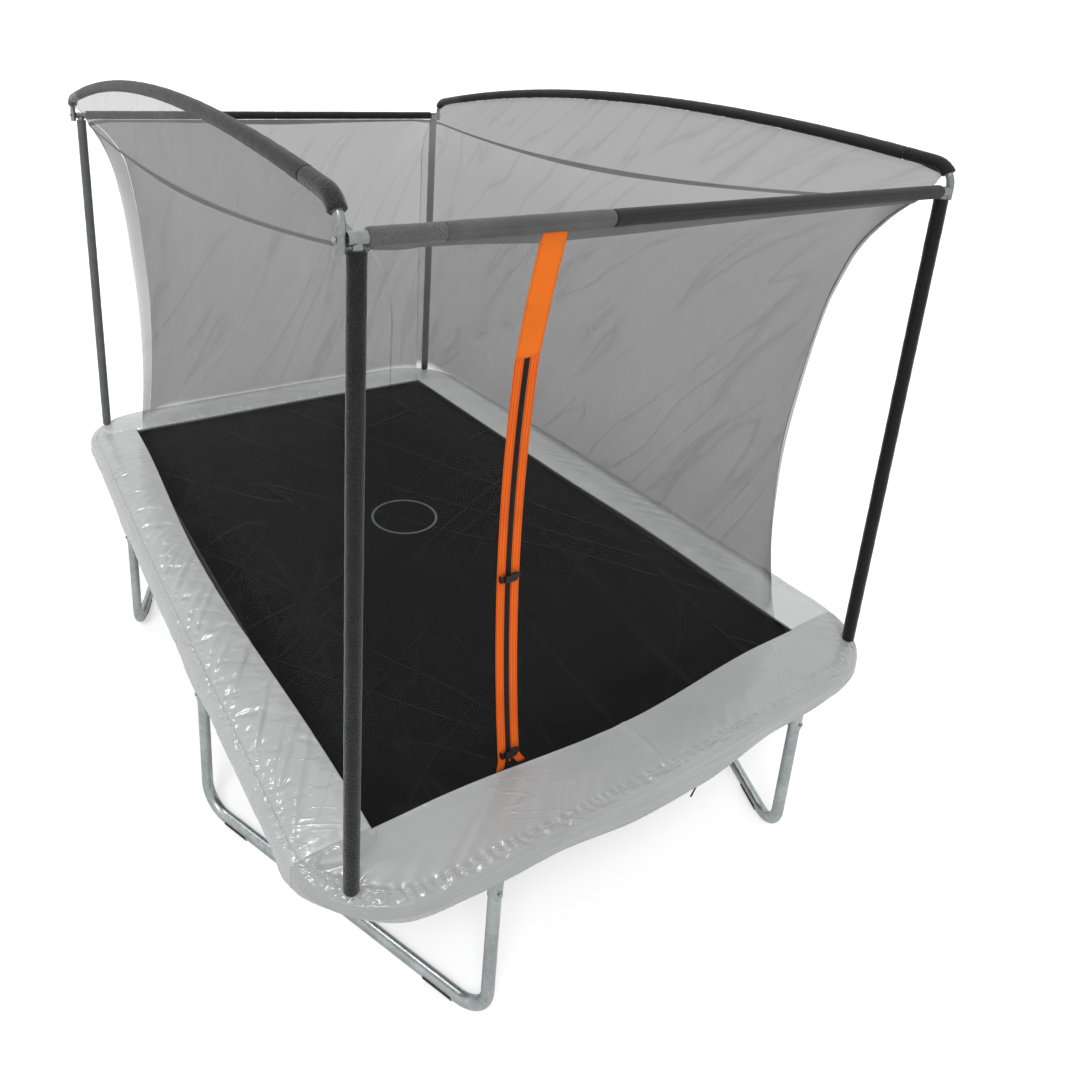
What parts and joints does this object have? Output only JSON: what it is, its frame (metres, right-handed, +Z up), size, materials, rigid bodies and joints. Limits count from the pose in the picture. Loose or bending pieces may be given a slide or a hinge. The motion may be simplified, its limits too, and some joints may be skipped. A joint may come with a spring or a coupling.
{
  "type": "trampoline",
  "caption": "Rectangular garden trampoline: bent-tube legs, sprung mat, padded rim, and a mesh enclosure on corner poles with arched side rails and a zipped door",
  "frame": {"origin": "On the ground, under the middle of the frame", "axes": "X is the width, Y the length, Z up; the zipped entrance is in the end that faces -Y"},
  "size_m": [2.488, 3.7094, 2.741],
  "materials": {
    "galvanised_steel": "hot-dip galvanised tube, dull grey with brighter streaks",
    "zinc_steel": "bright zinc plate",
    "spring_steel": "zinc-plated spring wire",
    "black_plastic": "moulded black plastic",
    "mat_fabric": "woven black polypropylene",
    "pad_cover": "pale grey vinyl over foam, slightly glossy",
    "dark_webbing": "dark woven tape",
    "foam_sleeve": "dark foam tube in a fabric skin",
    "net_fabric": "fine dark mesh, half see-through",
    "orange_fabric": "bright orange woven band",
    "brass_zip": "brass-coloured die casting"
  },
  "bodies": {
    "frame": {"rail_front": "galvanised_steel", "rail_back": "galvanised_steel", "rail_left": "galvanised_steel", "rail_right": "galvanised_steel", "corner_front_left": "galvanised_steel", "corner_front_right": "galvanised_steel", "corner_back_left": "galvanised_steel", "corner_back_right": "galvanised_steel", "leg_posts_front_left": "galvanised_steel", "leg_posts_front_right": "galvanised_steel", "leg_posts_back_left": "galvanised_steel", "leg_posts_back_right": "galvanised_steel", "leg_base_front_left": "galvanised_steel", "leg_base_front_right": "galvanised_steel", "leg_base_back_left": "galvanised_steel", "leg_base_back_right": "galvanised_steel", "foot_clips": "black_plastic", "frame_bolts": "zinc_steel", "springs": "spring_steel", "pad_front": "pad_cover", "pad_back": "pad_cover", "pad_left": "pad_cover", "pad_right": "pad_cover", "pad_tie": "dark_webbing", "pole_front_left": "galvanised_steel", "pole_front_right": "galvanised_steel", "pole_back_left": "galvanised_steel", "pole_back_right": "galvanised_steel", "pole_foam_front_left": "foam_sleeve", "pole_foam_front_right": "foam_sleeve", "pole_foam_back_left": "foam_sleeve", "pole_foam_back_right": "foam_sleeve", "tee_front_left": "galvanised_steel", "tee_front_right": "galvanised_steel", "tee_back_left": "galvanised_steel", "tee_back_right": "galvanised_steel", "top_rail_front": "galvanised_steel", "top_rail_back": "galvanised_steel", "top_rail_foam": "foam_sleeve", "arch_left": "galvanised_steel", "arch_right": "galvanised_steel", "arch_foam_left": "foam_sleeve", "arch_foam_right": "foam_sleeve", "net_front": "net_fabric", "net_back": "net_fabric", "net_left": "net_fabric", "net_right": "net_fabric", "door_panel": "orange_fabric", "door_bands": "orange_fabric", "zip_tape": "dark_webbing", "buckle_sockets": "black_plastic"},
    "mat": {"mat": "mat_fabric", "mat_rings": "zinc_steel"},
    "zip_slider": {"zip_slider": "brass_zip"},
    "zip_pull": {"zip_pull": "brass_zip"},
    "buckle_clip_upper": {"buckle_clip_upper": "black_plastic"},
    "buckle_clip_lower": {"buckle_clip_lower": "black_plastic"}
  },
  "joints": [
    {"name": "mat_bounce", "type": "slide", "parent": "frame", "child": "mat", "axis": [0, 0, 1], "range_m": [-0.15, 0], "stiffness_N_per_m": 4000, "springref_m": 0.05, "deforming": ["springs"]},
    {"name": "zip_travel", "type": "hinge", "parent": "frame", "child": "zip_slider", "pos_m": [-0.49053, -7.124, 1.227], "axis": [0.9985, 0, 0.0545], "range_deg": [0, 14.24]},
    {"name": "pull_swing", "type": "hinge", "parent": "zip_slider", "child": "zip_pull", "pos_m": [-0.46249, -1.55473, 0.71307], "axis": [-0.9985, 0, -0.0545], "range_deg": [0, 110]},
    {"name": "clip_upper_slide", "type": "slide", "parent": "frame", "child": "buckle_clip_upper", "axis": [0.9985, 0, 0.0545], "range_m": [0, 0.03]},
    {"name": "clip_lower_slide", "type": "slide", "parent": "frame", "child": "buckle_clip_lower", "axis": [0.9985, 0, 0.0545], "range_m": [0, 0.03]}
  ]
}
